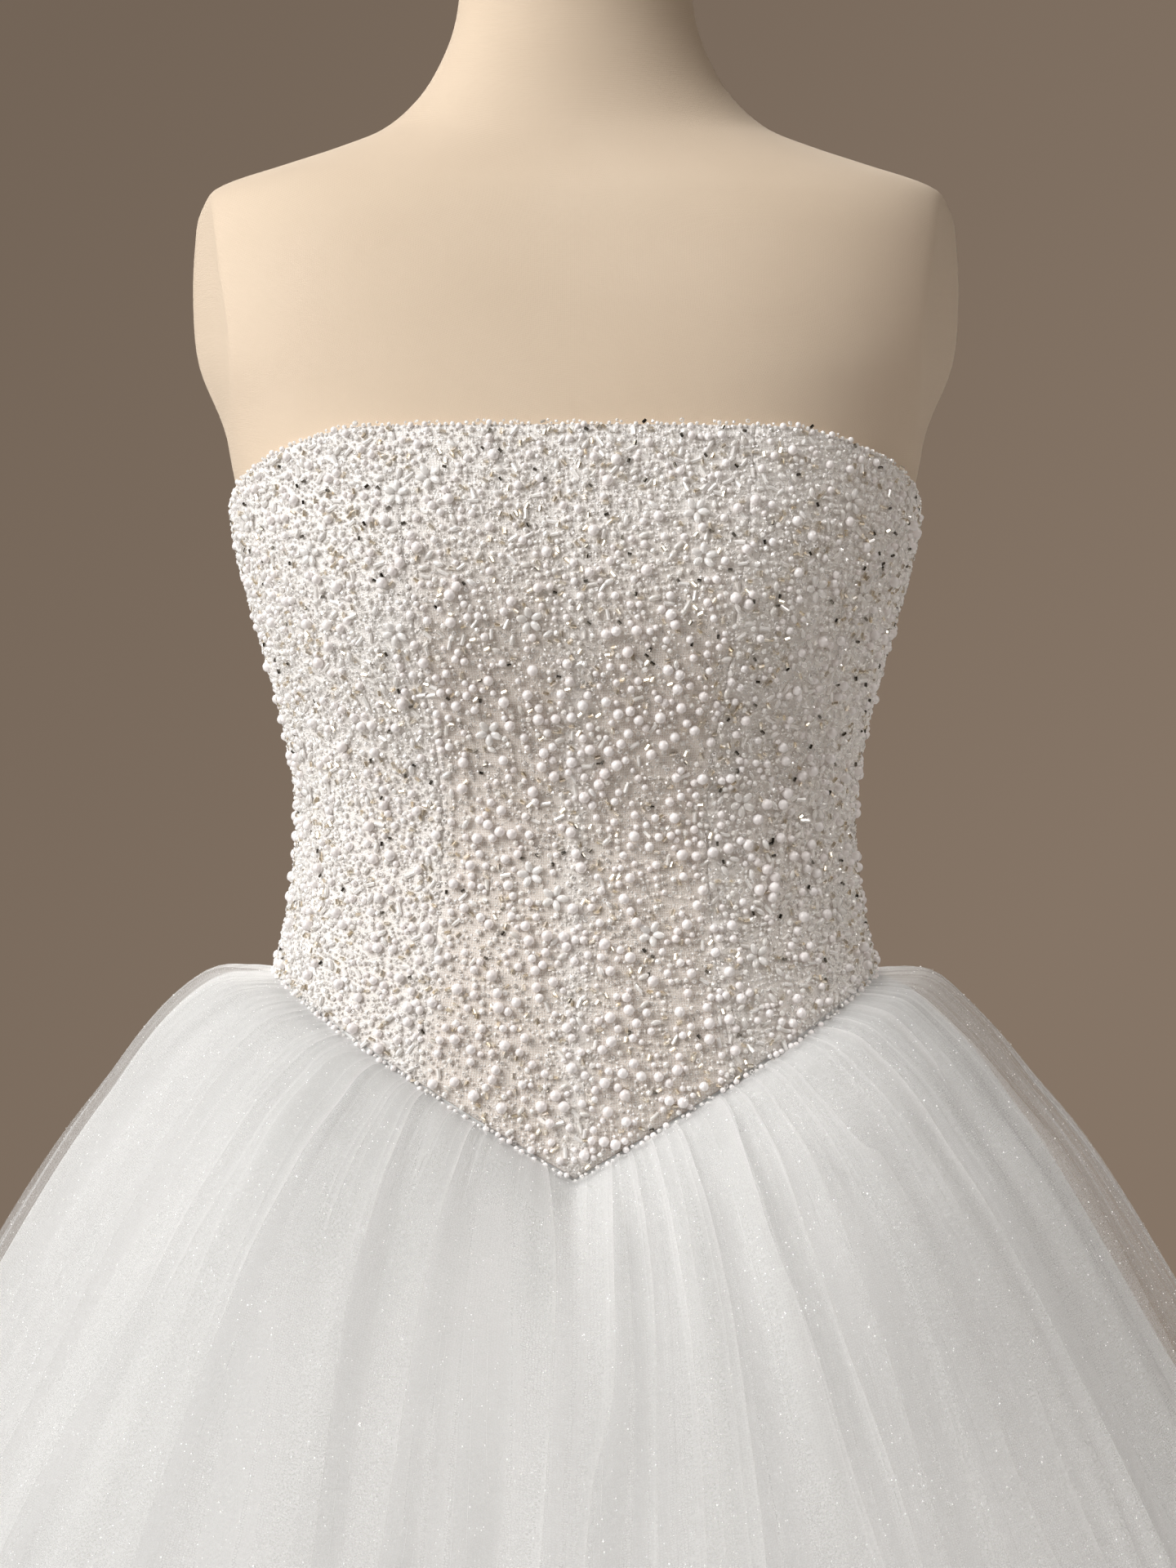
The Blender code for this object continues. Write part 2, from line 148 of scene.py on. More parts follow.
def sheet_mesh(name, rows, closed=False, spacing=None):
    """A cloth sheet from rows of points, top to bottom, with a UV map in metres along the cloth."""
    count, columns = len(rows), len(rows[0])
    last = columns if closed else columns - 1
    faces = [
        (r * columns + c, (r + 1) * columns + c,
         (r + 1) * columns + (c + 1) % columns, r * columns + (c + 1) % columns)
        for r in range(count - 1) for c in range(last)
    ]
    mesh = bpy.data.meshes.new(name)
    mesh.from_pydata([point for row in rows for point in row], [], faces)
    middle = rows[spacing if spacing is not None else count // 2]
    across = [0.0]
    for a, b in zip(middle, middle[1:] + middle[:1]):
        across.append(across[-1] + (b - a).length)
    down = [[0.0] * columns]
    for upper, lower in zip(rows, rows[1:]):
        down.append([d + (b - a).length for d, a, b in zip(down[-1], upper, lower)])
    layer = mesh.uv_layers.new(name="cloth")
    for face in mesh.polygons:
        for corner, vertex in zip(face.loop_indices, face.vertices):
            r, c = divmod(vertex, columns)
            wrapped = closed and c == 0 and face.vertices[0] % columns == columns - 1
            layer.data[corner].uv = (across[columns if wrapped else c], -down[r][c])
    mesh.shade_smooth()
    return mesh


def linked(name, data):
    made = bpy.data.objects.new(name, data)
    bpy.context.scene.collection.objects.link(made)
    return made


def shown(name, mesh, finish):
    piece = linked(name, mesh)
    mesh.materials.append(finish)
    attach(piece, GOWN)
    return piece


def alone(piece):
    """Selects one piece and nothing else, for an operator."""
    bpy.ops.object.select_all(action="DESELECT")
    bpy.context.view_layer.objects.active = piece
    piece.select_set(True)


def finished(piece, modifier):
    alone(piece)
    bpy.ops.object.modifier_apply(modifier=modifier)


def coated(piece, finish):
    """Gives a piece one finish in place of those it has."""
    piece.data.materials.clear()
    piece.data.materials.append(finish)


def node_maker(tree):
    """Returns a function that adds a node, sets its plain properties and links its inputs."""

    def add(kind, inputs=None, **settings):
        node = tree.nodes.new(kind)
        for key, value in settings.items():
            setattr(node, key, value)
        for key, value in (inputs or {}).items():
            if isinstance(value, bpy.types.NodeSocket):
                tree.links.new(value, node.inputs[key])
            else:
                node.inputs[key].default_value = value
        return node

    return add


def new_finish(name):
    """An empty material and what adds nodes to it."""
    made = bpy.data.materials.new(name)
    made.use_nodes = True
    return made, node_maker(made.node_tree)


def feed(finish, **sockets):
    """Sets or links the inputs of the finish's own shader, and hands the finish back."""
    shader = finish.node_tree.nodes["Principled BSDF"]
    for name, value in sockets.items():
        target = shader.inputs[name.replace("_", " ").title().replace("Ior", "IOR")]
        if isinstance(value, bpy.types.NodeSocket):
            finish.node_tree.links.new(value, target)
        else:
            target.default_value = value
    return finish


def coordinates(add, kind="Object"):
    return add("ShaderNodeTexCoord").outputs[kind]


def cloudy(add, place, scale, detail, **more):
    """Soft uneven noise."""
    return add("ShaderNodeTexNoise",
               {"Vector": place, "Scale": scale, "Detail": detail, **more}).outputs["Fac"]


def maths(add, operation, *values, clamped=False):
    return add("ShaderNodeMath", dict(enumerate(values)), operation=operation,
               use_clamp=clamped).outputs[0]


def ranged(add, value, low, high, start=0.0, end=1.0, **settings):
    """Goes from low to high while the value goes from start to end."""
    limits = {"Value": value, "From Min": start, "From Max": end, "To Min": low, "To Max": high}
    return add("ShaderNodeMapRange", limits, **settings).outputs["Result"]


def tinted(add, value, start, low, end, high):
    """Goes from one colour to another while the value goes from start to end."""
    ramp = add("ShaderNodeValToRGB", {"Fac": value})
    for stop, place, colour in zip(ramp.color_ramp.elements, (start, end), (low, high)):
        stop.position, stop.color = place, (*colour, 1)
    return ramp.outputs["Color"]


def embossed(add, height, strength, depth):
    return add("ShaderNodeBump",
               {"Height": height, "Strength": strength, "Distance": depth}).outputs["Normal"]


RIPPLES_LOW, RIPPLES_HIGH = 1.25, 1.31


def jersey():
    """Fine nude jersey: upright wales, crossed by courses, with a faint unevenness of dye. It
    ripples where it is pulled in at the neckline."""
    finish, add = new_finish("nude_jersey")
    place, uv = coordinates(add), coordinates(add, "UV")
    wales = add("ShaderNodeTexWave", {"Vector": uv, "Scale": 420.0, "Distortion": 1.2, "Detail": 1.0},
                bands_direction="X")
    courses = add("ShaderNodeTexWave", {"Vector": uv, "Scale": 330.0, "Distortion": 0.8, "Detail": 1.0},
                  bands_direction="Y")
    knit = maths(add, "ADD", wales.outputs["Fac"], courses.outputs["Fac"])
    pulled = add("ShaderNodeMapping", {"Vector": place, "Scale": (1.0, 1.0, 0.12)}).outputs[0]
    height = add("ShaderNodeSeparateXYZ", {"Vector": place}).outputs["Z"]
    near_edge = ranged(add, height, 1.6, 0.0, start=RIPPLES_LOW, end=RIPPLES_HIGH)
    relief = maths(add, "MULTIPLY_ADD", cloudy(add, pulled, 260.0, 1.0), near_edge, knit)
    dye = cloudy(add, place, 9.0, 4.0)
    return feed(finish, roughness=0.78, specular_ior_level=0.25,
                base_color=tinted(add, dye, 0.30, (0.680, 0.555, 0.425), 0.70, (0.720, 0.595, 0.465)),
                normal=embossed(add, relief, 0.22, 0.0003),
                sheen_weight=0.35, sheen_roughness=0.45, sheen_tint=(1.0, 0.90, 0.78, 1))


def cap_rings(outline):
    """Rings that close an end: a soft edge, then two rings inside it."""
    middle = sum(outline, Vector()) / len(outline)
    return [[middle + (point - middle) * share for point in outline] for share in (0.97, 0.6, 0.2)]


PLATE_LOW, PLATE_HIGH, PLATE_FADE = 1.256, 1.372, 0.012
PLATE_RIDGE, PLATE_LEAN, PLATE_LEANS_FROM = 0.1635, 0.17, 1.30
TORSO_COLUMNS, ROWS_PER_SECTION = 192, 5


def plated(point):
    """Flattens the front of the arm's end into a plate, which meets the chest in a soft ridge."""
    if point.y > 0 or not PLATE_LOW - PLATE_FADE < point.z < PLATE_HIGH + PLATE_FADE:
        return point
    inside = min(point.z - PLATE_LOW, PLATE_HIGH - point.z) / PLATE_FADE
    fade = unit(0.5 + 0.5 * inside)
    section = section_at(point.z)
    ridge = PLATE_RIDGE + PLATE_LEAN * max(0, point.z - PLATE_LEANS_FROM)
    reach = min(ridge / section.half_width, 0.98)
    ridge_depth = section.front * (1 - reach**section.front_square) ** (1 / section.front_square)
    along = unit(1 + point.y / ridge_depth)
    limit = ridge + (section.half_width - ridge) * along
    past = abs(point.x) - limit
    if past <= 0:
        return point
    return Vector((math.copysign(abs(point.x) - past * fade, point.x), point.y, point.z))


def form_torso():
    angles = evenly(-180, 180, TORSO_COLUMNS)[:-1]
    heights = []
    for lower, upper in zip(TORSO, TORSO[1:]):
        heights += evenly(lower.z, upper.z, ROWS_PER_SECTION)[:-1]
    rows = [[plated(on_form(angle, z)) for angle in angles] for z in [*heights, TORSO[-1].z][::-1]]
    rows = cap_rings(rows[0])[::-1] + rows + cap_rings(rows[-1])
    piece = shown("torso", sheet_mesh("torso", rows, closed=True), jersey())
    alone(piece)
    bpy.ops.object.mode_set(mode="EDIT")
    bpy.ops.mesh.select_all(action="SELECT")
    bpy.ops.mesh.fill_holes(sides=0)
    bpy.ops.object.mode_set(mode="OBJECT")
    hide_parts("form_torso")


form_torso()


# ---- Dress form: pole and base ----
# A steel pole on a flange carries the torso, and stands on a heavy round iron base. Both are
# sprayed off-white, and the paint is a little uneven.


def painted_iron():
    finish, add = new_finish("painted_iron")
    place = coordinates(add)
    cloud, speckle = cloudy(add, place, 14.0, 5.0), cloudy(add, place, 900.0, 2.0)
    return feed(finish, roughness=ranged(add, cloud, 0.34, 0.52),
                base_color=tinted(add, cloud, 0.25, (0.60, 0.57, 0.53), 0.65, (0.74, 0.72, 0.68)),
                normal=embossed(add, speckle, 0.12, 0.0004))


iron = painted_iron()
for node in ("form_pole", "form_base"):
    coated(bpy.data.objects[node], iron)


# ---- Bodice: seven boned panels ----
# Ivory net over a nude lining, cut in seven panels with a bone along each seam and down the
# centre front. The wall is a firm shell, turned under at the neckline and at the waist seam.

NECKLINE_FRONT, NECKLINE_SIDE, NECKLINE_BACK, NECKLINE_CORNER = 1.251, 1.213, 1.197, 0.85
WAIST_POINT, WAIST_RISE, WAIST_BEND, WAIST_SIDE, WAIST_BACK = 0.906, 0.68, 0.40, 0.997, 0.980
PRINCESS_SEAM, SIDE_SEAM, BACK_PRINCESS_SEAM, CENTRE_BACK = 24, 90, 138, 180
BODICE_EASE, BODICE_WALL, SEAM_GAP, ZIP_OPENING = 0.0016, 0.0020, 0.0003, 0.0033
side_x = on_form(SIDE_SEAM, WAIST_SIDE).x


def neckline(degrees):
    ahead = math.cos(math.radians(degrees))
    if ahead > 0:
        rise = NECKLINE_FRONT - NECKLINE_SIDE
        return NECKLINE_SIDE + rise * min(1, ahead / NECKLINE_CORNER)
    return NECKLINE_SIDE + (NECKLINE_BACK - NECKLINE_SIDE) * ahead**2


def waist_seam(degrees):
    ahead = math.cos(math.radians(degrees))
    if ahead > 0:
        x = abs(on_form(degrees, WAIST_SIDE).x)
        run = WAIST_RISE * side_x - WAIST_BEND * side_x**2
        share = (WAIST_RISE * x - WAIST_BEND * x**2) / run
        return WAIST_POINT + (WAIST_SIDE - WAIST_POINT) * share
    return WAIST_SIDE + (WAIST_BACK - WAIST_SIDE) * ahead**2


def on_bodice(degrees, share, out=BODICE_EASE + BODICE_WALL):
    top, bottom = neckline(degrees), waist_seam(degrees)
    return off_form(degrees, top + (bottom - top) * share, out)


# Painted light: a faint warm glow, no lamp, given to the bodice net, pearls and glass to lift their shade
# as if light scattered through them.
PAINTED_GLOW = {"emission_color": (1.0, 0.82, 0.68, 1), "emission_strength": 0.035}


def carried(add, name):
    """A value that the piece's own mesh carries."""
    return add("ShaderNodeAttribute", attribute_name=name).outputs["Fac"]


def cells(add, place, scale, uneven, **settings):
    return add("ShaderNodeTexVoronoi", {"Vector": place, "Scale": scale, "Randomness": uneven},
               **settings).outputs


def laid_over(add, share, under, over):
    """One colour over another, by a share."""
    return add("ShaderNodeMix", {0: share, 6: under, 7: over}, data_type="RGBA").outputs[2]


def beaded_net():
    """Fine six-sided net over a taupe lining, strewn with the smallest clear beads, which close up
    to an even white wherever the beading isn't open."""
    finish, add = new_finish("bodice_net")
    uv, place, closed = coordinates(add, "UV"), coordinates(add), carried(add, "closed")
    meshes = cells(add, uv, 850.0, 0.25, feature="DISTANCE_TO_EDGE")
    threads = ranged(add, meshes["Distance"], 1.0, 0.0, start=0.05, end=0.20)
    cloud = cloudy(add, place, 70.0, 5.0, Roughness=0.7)
    lining = tinted(add, cloud, 0.32, (0.625, 0.55, 0.495), 0.70, (0.86, 0.79, 0.73))
    whiter = laid_over(add, closed, lining, (0.93, 0.92, 0.91, 1))
    netted = laid_over(add, threads, whiter, (0.92, 0.89, 0.86, 1))
    crumbs = cells(add, place, 620.0, 1.0)
    kind = add("ShaderNodeSeparateColor", {"Color": crumbs["Color"]}).outputs
    share = maths(add, "MULTIPLY_ADD", closed, 0.35, 0.45)
    chosen = maths(add, "LESS_THAN", kind["Red"], share)
    dome = ranged(add, crumbs["Distance"], 1.0, 0.0, 0.10, 0.48, interpolation_type="SMOOTHSTEP")
    beads = maths(add, "MULTIPLY", chosen, dome)
    glass = tinted(add, kind["Green"], 0.04, (0.70, 0.66, 0.60), 0.35, (0.98, 0.975, 0.97))
    raised = maths(add, "MULTIPLY_ADD", threads, 0.35, beads)
    # The net glows faintly: painted light that lifts its shade.
    return feed(finish, base_color=laid_over(add, beads, netted, glass),
                roughness=ranged(add, beads, 0.65, 0.18), normal=embossed(add, raised, 0.8, 0.0006),
                sheen_weight=0.2, **PAINTED_GLOW)


net_finish = beaded_net()
BONE_HALF, BONE_RISE = 0.0070, 0.0006
bone_angles = (0, PRINCESS_SEAM, SIDE_SEAM, BACK_PRINCESS_SEAM)
OPEN_BEHIND, OPEN_FADE, OPEN_ON_BONE, BONE_FADE = 0.3, 7, 0.35, 5
BESIDE_OPEN, BESIDE_MIDDLE, BESIDE_REACH = 0.40, 14, 12
OPEN_FROM, BESIDE_OPEN_FROM, OPEN_RAMP = 0.10, 0.40, 0.25
PANEL_BANDS, MEASURED_BAND = 64, 20


def bone_share(degrees, point, share):
    """1 on a bone's line and 0 past its width."""
    away = min((on_bodice(math.copysign(bone, degrees), share) - point).length for bone in bone_angles)
    return max(0.0, 1 - (away / BONE_HALF) ** 2)


def bell(value, middle, reach):
    """1 at the middle, falling softly to almost nothing at twice the reach."""
    return math.exp(-(((value - middle) / reach) ** 2))


def openness(point, share, degrees):
    """1 in the middle of the front, where the net shows between pearls, 0 at its sides and bones,
    and one even share behind."""
    if point.y > 0:
        return OPEN_BEHIND
    past_seam = abs(degrees) - PRINCESS_SEAM
    middle = unit(0.5 - past_seam / OPEN_FADE) * unit((share - OPEN_FROM) / OPEN_RAMP)
    beside = BESIDE_OPEN * bell(past_seam, BESIDE_MIDDLE, BESIDE_REACH)
    beside *= unit((share - BESIDE_OPEN_FROM) / OPEN_RAMP)
    return max(middle * min(1, OPEN_ON_BONE + abs(degrees) / BONE_FADE), beside)


def trim(row, start, end):
    """Draws in both ends of a row of points, to leave room at the seams."""
    row[0] += (row[1] - row[0]).normalized() * start
    row[-1] += (row[-2] - row[-1]).normalized() * end


def mark(mesh, name, values, kind="FLOAT", key="value"):
    """Gives each point of a mesh a value to carry."""
    mesh.attributes.new(name, kind, "POINT").data.foreach_set(key, values)


def bodice_panel(name, start, end, columns, start_trim, end_trim):
    angles = evenly(start, end, columns)
    rows, bones, closed = [], [], []
    for share in evenly(0, 1, PANEL_BANDS):
        row = [on_bodice(angle, share) for angle in angles]
        trim(row, start_trim, end_trim)
        bones += [bone_share(angle, point, share) for angle, point in zip(angles, row)]
        closed += [1 - openness(point, share, angle) for angle, point in zip(angles, row)]
        rows.append(row)
    mesh = sheet_mesh(name, rows)
    mark(mesh, "closed", closed)
    piece = shown(name + "_panel", mesh, net_finish)
    for vertex, bone in zip(mesh.vertices, bones):
        vertex.co += vertex.normal * BONE_RISE * bone
    wall = piece.modifiers.new("wall", "SOLIDIFY")
    wall.thickness, wall.offset = BODICE_WALL, -1
    finished(piece, "wall")
    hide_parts(name)


half_gap = SEAM_GAP / 2
bodice_panel("bodice_front", -PRINCESS_SEAM, PRINCESS_SEAM, 48, half_gap, half_gap)
for part, start, end, columns, end_trim in (
    ("side_front", PRINCESS_SEAM, SIDE_SEAM, 44, half_gap),
    ("side_back", SIDE_SEAM, BACK_PRINCESS_SEAM, 30, half_gap),
    ("back", BACK_PRINCESS_SEAM, CENTRE_BACK, 30, ZIP_OPENING),
):
    bodice_panel("bodice_" + part + "_right", start, end, columns, half_gap, end_trim)
    bodice_panel("bodice_" + part + "_left", -end, -start, columns, end_trim, half_gap)


# ---- Beads: pearls, crystals, bugles and seed beads ----
# Sewn one by one over the whole bodice, and just past its edges: flowers of clear petals and the
# edging first, then the pearls, and ever smaller glass between. Each kind is modelled once and copied.

EDGE_BEADS = 0.006
NET_BANDS, NET_STEPS = 40, 240
net_shares = evenly(-EDGE_BEADS, 1 + EDGE_BEADS, NET_BANDS)
net_rows = [[on_bodice(angle, share) for angle in evenly(-180, 180, NET_STEPS)] for share in net_shares]
net_cells = [(row, column) for row in range(NET_BANDS) for column in range(NET_STEPS)]


def cell_corners(row, column):
    upper, lower = net_rows[row], net_rows[row + 1]
    return upper[column], upper[column + 1], lower[column], lower[column + 1]


def cell_area(row, column):
    a, b, c, d = cell_corners(row, column)
    return ((b - a).cross(c - a).length + (b - d).cross(c - d).length) / 2


cell_sums = list(accumulate(cell_area(row, column) for row, column in net_cells))
bead_dice = random.Random(5)
placed = {}
GRID = 0.008
NetSpot = namedtuple("NetSpot", "point normal share degrees")


def spot_on_net():
    """A chance point of the net."""
    row, column = bead_dice.choices(net_cells, cum_weights=cell_sums)[0]
    u, v = bead_dice.random(), bead_dice.random()
    a, b, c, d = cell_corners(row, column)
    point = (a * (1 - u) + b * u) * (1 - v) + (c * (1 - u) + d * u) * v
    share = net_shares[row] * (1 - v) + net_shares[row + 1] * v
    return NetSpot(point, (c - a).cross(b - a).normalized(), share, -180 + 360 * (column + u) / NET_STEPS)


def fits(point, reach):
    """Whether a bead of this reach fits between those already sewn, and books its place if so."""
    key = tuple(math.floor(value / GRID) for value in point)
    for step in product((-1, 0, 1), repeat=3):
        for other, other_reach in placed.get(tuple(map(sum, zip(key, step))), ()):
            if (other - point).length < reach + other_reach:
                return False
    placed.setdefault(key, []).append((point, reach))
    return True


def sewn_group():
    """Copies one bead to every point, turned and sized by the point's own values."""
    group = bpy.data.node_groups.new("sewn_beads", "GeometryNodeTree")
    group.interface.new_socket("Points", in_out="INPUT", socket_type="NodeSocketGeometry")
    group.interface.new_socket("Bead", in_out="INPUT", socket_type="NodeSocketObject")
    group.interface.new_socket("Beads", in_out="OUTPUT", socket_type="NodeSocketGeometry")
    add = node_maker(group)
    given = add("NodeGroupInput")
    bead = add("GeometryNodeObjectInfo", {"Object": given.outputs["Bead"]})
    turn = add("GeometryNodeInputNamedAttribute", {"Name": "turn"}, data_type="FLOAT_VECTOR")
    size = add("GeometryNodeInputNamedAttribute", {"Name": "size"}, data_type="FLOAT_VECTOR")
    to_turn = add("FunctionNodeEulerToRotation", {"Euler": turn.outputs[0]})
    sewn = add("GeometryNodeInstanceOnPoints", {
        "Points": given.outputs["Points"], "Instance": bead.outputs["Geometry"],
        "Rotation": to_turn.outputs[0], "Scale": size.outputs[0]})
    real = add("GeometryNodeRealizeInstances", {"Geometry": sewn.outputs[0]})
    add("NodeGroupOutput", {"Beads": real.outputs[0]})
    return group


sewn = sewn_group()
SewnBead = namedtuple("SewnBead", "point turn size tone")


def upright(normal):
    """A turn whose third axis is the surface normal and whose first lies level."""
    side = Vector((0, 0, 1)).cross(normal).normalized()
    return Matrix((side, normal.cross(side), normal)).transposed()


def turned_to(normal, spin, tilt):
    """Euler angles of a bead whose own Z is turned from the surface normal by a tilt."""
    local = Matrix.Rotation(spin, 3, "Z") @ Matrix.Rotation(tilt, 3, "X")
    return (upright(normal) @ local).to_euler()


def sew(name, shape, beads, finish):
    mesh = bpy.data.meshes.new(name)
    mesh.from_pydata([bead.point for bead in beads], [], [])
    for held in ("turn", "size"):
        values = [value for bead in beads for value in getattr(bead, held)]
        mark(mesh, held, values, "FLOAT_VECTOR", "vector")
    mark(mesh, "tone", [bead.tone for bead in beads])
    piece = shown(name, mesh, finish)
    sewing = piece.modifiers.new("sewing", "NODES")
    sewing.node_group = sewn
    sewing[sewn.interface.items_tree["Bead"].identifier] = shape
    finished(piece, "sewing")
    coated(piece, finish)
    for left in ("turn", "size"):
        if left in piece.data.attributes:
            piece.data.attributes.remove(piece.data.attributes[left])
    return piece


def bead_shape(name, primitive, smooth, **sizes):
    bpy.ops.object.select_all(action="DESELECT")
    getattr(bpy.ops.mesh, "primitive_" + primitive + "_add")(location=(0, 0, 0), **sizes)
    bead = bpy.context.object
    bead.name = bead.data.name = name
    if smooth:
        bead.data.shade_smooth()
    return bead


def bored(bead, wall, depth):
    """Sinks a hole into each end of a tube."""
    alone(bead)
    bead.data.polygons.foreach_set("select", [abs(face.normal.z) > 0.9 for face in bead.data.polygons])
    bpy.ops.object.mode_set(mode="EDIT")
    bpy.ops.mesh.select_mode(type="FACE")
    bpy.ops.mesh.inset(thickness=wall, use_individual=True)
    bpy.ops.object.mode_set(mode="OBJECT")
    for face in bead.data.polygons:
        if face.select:
            for vertex in face.vertices:
                bead.data.vertices[vertex].co.z *= 1 - depth
    return bead


def double_pointed(bead):
    """Closes an open cone with its own mirror image, to a cut bead with a point at each end."""
    for vertex in bead.data.vertices:
        vertex.co.z += 0.5
    bead.modifiers.new("other_half", "MIRROR").use_axis = (False, False, True)
    finished(bead, "other_half")
    return bead


EVEN_SCATTER = (1.0, 1.0, 1.0)


def pearl_finish():
    """Nacre: rosy white, a little different from pearl to pearl, under a clear coat."""
    finish, add = new_finish("pearl")
    cloud = cloudy(add, coordinates(add), 450.0, 2.0)
    tone = maths(add, "MULTIPLY_ADD", cloud, 0.35, carried(add, "tone"))
    # The pearls glow faintly: painted light that lifts their shade.
    return feed(finish, roughness=ranged(add, cloud, 0.22, 0.38),
                base_color=tinted(add, tone, 0.10, (0.87, 0.825, 0.82), 0.95, (0.94, 0.92, 0.93)),
                subsurface_weight=0.15, subsurface_radius=EVEN_SCATTER, subsurface_scale=0.0008,
                coat_weight=0.7, coat_roughness=0.10, sheen_weight=0.25, **PAINTED_GLOW)


def glass_finish(name, low, high, clear, rough):
    """Clear or milky glass, from bead to bead a little warmer or whiter."""
    finish, add = new_finish(name)
    cloud = cloudy(add, coordinates(add), 700.0, 1.0)
    tone = maths(add, "MULTIPLY_ADD", cloud, 0.3, carried(add, "tone"))
    # The glass glows faintly: painted light that lifts its shade.
    return feed(finish, base_color=tinted(add, tone, 0.15, low, 0.95, high), roughness=rough,
                transmission_weight=clear, ior=1.5,
                subsurface_weight=0.30, subsurface_radius=EVEN_SCATTER, subsurface_scale=0.0010,
                coat_weight=0.8, coat_roughness=0.08, **PAINTED_GLOW)


def metal_finish(name, low, high, rough, metallic=1.0):
    finish, add = new_finish(name)
    cloud = cloudy(add, coordinates(add), 500.0, 1.0)
    return feed(finish, base_color=tinted(add, cloud, 0.30, low, 0.70, high), metallic=metallic,
                roughness=ranged(add, cloud, rough * 0.7, rough * 1.4))


pearl = pearl_finish()
crystal = glass_finish("crystal", (0.90, 0.88, 0.85), (0.995, 0.995, 0.995), 0.10, 0.08)
petal_glass = glass_finish("petal_glass", (0.86, 0.84, 0.81), (0.98, 0.98, 0.98), 0.22, 0.12)
seed_glass = glass_finish("seed_glass", (0.60, 0.57, 0.54), (0.98, 0.98, 0.98), 0.10, 0.15)
silver = metal_finish("silver_lined", (0.72, 0.60, 0.42), (0.98, 0.96, 0.91), 0.2, metallic=0.7)
# Near-black tubes stand in for the dark holes of silver-lined beads: painted shade in the holes.
hole_shade = metal_finish("dark_lined", (0.05, 0.045, 0.04), (0.30, 0.28, 0.24), 0.2)
round_pearl = bead_shape("round_pearl", "uv_sphere", True, segments=9, ring_count=6, radius=1)
facets = bead_shape("facets", "ico_sphere", False, subdivisions=1, radius=1)
fine_cut = double_pointed(bead_shape("fine_cut", "cone", False, vertices=4, radius1=1, radius2=0,
                                     depth=1, end_fill_type="NOTHING"))
petal = bead_shape("petal", "uv_sphere", True, segments=6, ring_count=5, radius=1)
bugle = bored(bead_shape("bugle", "cylinder", False, vertices=6, radius=1, depth=2), 0.40, 0.3)
short_tube = bead_shape("short_tube", "cylinder", False, vertices=5, radius=1, depth=2)
hoop = bead_shape("hoop", "torus", True, major_radius=0.66, minor_radius=0.34, major_segments=7,
                  minor_segments=3)

FLOWERS, FLOWER_REACH, FLOWER_EDGE, FLOWER_FROM_ZIP = 46, 0.0062, 0.03, 0.012
PETALS, PETAL_SIZE = 5, (0.0020, 0.0011, 0.0029)
PETAL_OUT, PETAL_RAISE, PETAL_TILT = 0.0036, 0.0014, 0.25
BEAD_FROM_ZIP = 0.0065


def beside_zip(point, room):
    return abs(point.x) < room and point.y > 0


petals = []
while len(petals) < FLOWERS * PETALS:
    spot = spot_on_net()
    if not FLOWER_EDGE < spot.share < 1 - FLOWER_EDGE or beside_zip(spot.point, FLOWER_FROM_ZIP):
        continue
    if not fits(spot.point, FLOWER_REACH):
        continue
    turn = bead_dice.uniform(0, math.tau)
    for number in range(PETALS):
        spin = turn + math.tau * number / PETALS + bead_dice.gauss(0, 0.08)
        outward = upright(spot.normal) @ Vector((math.sin(spin), -math.cos(spin), 0))
        petals.append(SewnBead(spot.point + outward * PETAL_OUT + spot.normal * PETAL_RAISE,
                               turned_to(spot.normal, spin, math.pi / 2 - PETAL_TILT),
                               PETAL_SIZE, bead_dice.uniform(0.4, 1)))
sew("flower_petals", petal, petals, petal_glass)

EDGING_STEP, EDGING_ENDS = 0.0023, 1.5
PEARL_RADII, GLASS_RADII = (0.0013, 0.0017), (0.0009, 0.0013)
edging_pearls, edging_glass = [], []
for edge, past, pearls, outward in ((0.0, 0.0002, 0.22, 0.3), (1.0, -0.0018, 0.50, 0.9)):
    degrees = -CENTRE_BACK + EDGING_ENDS
    while degrees < CENTRE_BACK - EDGING_ENDS:
        point = on_bodice(degrees, edge)
        normal = (on_bodice(degrees, edge, BODICE_EASE + BODICE_WALL + 0.001) - point).normalized()
        is_pearl = bead_dice.random() < pearls
        radius = bead_dice.uniform(*(PEARL_RADII if is_pearl else GLASS_RADII))
        centre = point + normal * radius * outward
        centre += Vector((0, 0, past + bead_dice.uniform(-0.0011, 0.0009)))
        if fits(centre, radius * 0.9):
            turn = turned_to(normal, bead_dice.uniform(0, math.tau), bead_dice.gauss(0, 0.6))
            strung = edging_pearls if is_pearl else edging_glass
            strung.append(SewnBead(centre, turn, (radius,) * 3, bead_dice.uniform(0.3, 1)))
        half_degree = (on_bodice(degrees + 0.5, edge) - point).length
        degrees += 0.5 * EDGING_STEP * bead_dice.uniform(0.8, 1.7) / half_degree
sew("edging_pearls", round_pearl, edging_pearls, pearl)
sew("edging_glass", facets, edging_glass, crystal)

